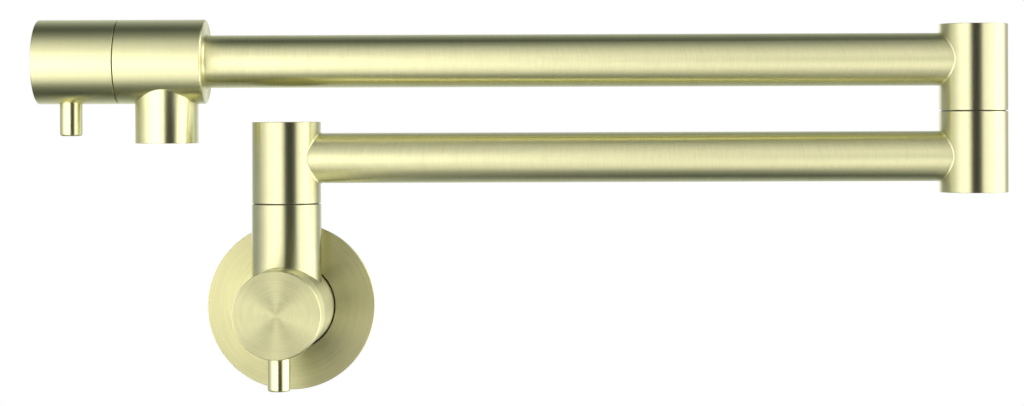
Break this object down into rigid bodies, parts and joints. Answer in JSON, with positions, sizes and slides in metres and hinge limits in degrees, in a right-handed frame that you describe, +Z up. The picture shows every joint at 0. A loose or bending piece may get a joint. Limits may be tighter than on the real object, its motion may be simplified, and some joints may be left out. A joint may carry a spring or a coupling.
{
  "type": "wall mounted pot filler",
  "caption": "Wall mounted tap for filling pots: round flange, quarter-turn wall valve, two swivelling folded arms and an outlet valve with a down-turned spout.",
  "frame": {"origin": "centre of the wall flange's back face, on the wall plane and on the inlet's axis", "axes": "+X along the folded arms from the shoulder to the elbow, +Z up, -Y out of the wall into the room"},
  "size_m": [0.3683, 0.071, 0.1422],
  "materials": {
    "brushed_gold": "brushed satin gold plating, turned lines round the axis",
    "raw_brass": "machined, unplated",
    "rubber": "matt moulded rubber",
    "dark_washer": "thin dark low-friction washer",
    "bearing_plastic": "white bearing plastic",
    "ceramic": "lapped white ceramic",
    "steel": "plain stainless steel",
    "aerator_plastic": "grey moulded plastic"
  },
  "bodies": {
    "wall_valve": {"wall_flange": "brushed_gold", "flange_gasket": "rubber", "flange_ring": "rubber", "inlet_nipple": "raw_brass", "valve_body": "brushed_gold", "wall_cartridge_shell": "raw_brass", "wall_cartridge_ring": "rubber", "wall_fixed_disc": "ceramic", "wall_seat_seal": "rubber", "shoulder_spigot": "raw_brass", "shoulder_rings": "rubber", "shoulder_washer": "dark_washer"},
    "wall_handle": {"wall_knob": "brushed_gold", "wall_lever": "brushed_gold", "wall_grub_screw": "steel", "wall_spindle": "raw_brass", "wall_moving_disc": "ceramic", "wall_spindle_ring": "rubber", "wall_stop_ring": "steel"},
    "lower_arm": {"shoulder_collar": "brushed_gold", "shoulder_cap": "brushed_gold", "shoulder_bush": "bearing_plastic", "lower_arm_tube": "brushed_gold", "elbow_lower_collar": "brushed_gold", "elbow_spigot": "raw_brass", "elbow_rings": "rubber", "elbow_washer": "dark_washer"},
    "upper_arm": {"elbow_upper_collar": "brushed_gold", "elbow_cap": "brushed_gold", "elbow_bush": "bearing_plastic", "upper_arm_tube": "brushed_gold", "outlet_body": "brushed_gold", "outlet_cartridge_shell": "raw_brass", "outlet_cartridge_ring": "rubber", "outlet_fixed_disc": "ceramic", "outlet_seat_seal": "rubber", "aerator_housing": "brushed_gold", "aerator_insert": "aerator_plastic", "aerator_washer": "rubber"},
    "outlet_handle": {"outlet_knob": "brushed_gold", "outlet_lever": "brushed_gold", "outlet_grub_screw": "steel", "outlet_spindle": "raw_brass", "outlet_moving_disc": "ceramic", "outlet_spindle_ring": "rubber", "outlet_stop_ring": "steel"}
  },
  "joints": [
    {"name": "wall_valve_turn", "type": "hinge", "parent": "wall_valve", "child": "wall_handle", "pos_m": [0, -0.041, 0], "axis": [0, -1, 0], "range_deg": [0, 90]},
    {"name": "shoulder_swivel", "type": "hinge", "parent": "wall_valve", "child": "lower_arm", "pos_m": [0, -0.022, 0.04025], "axis": [0, 0, -1], "range_deg": [0, 180]},
    {"name": "elbow_swivel", "type": "hinge", "parent": "lower_arm", "child": "upper_arm", "pos_m": [0.2612, -0.022, 0.07465], "axis": [0, 0, 1], "range_deg": [-180, 180]},
    {"name": "outlet_valve_turn", "type": "hinge", "parent": "upper_arm", "child": "outlet_handle", "pos_m": [-0.06315, -0.022, 0.094], "axis": [-1, 0, 0], "range_deg": [0, 90]}
  ]
}
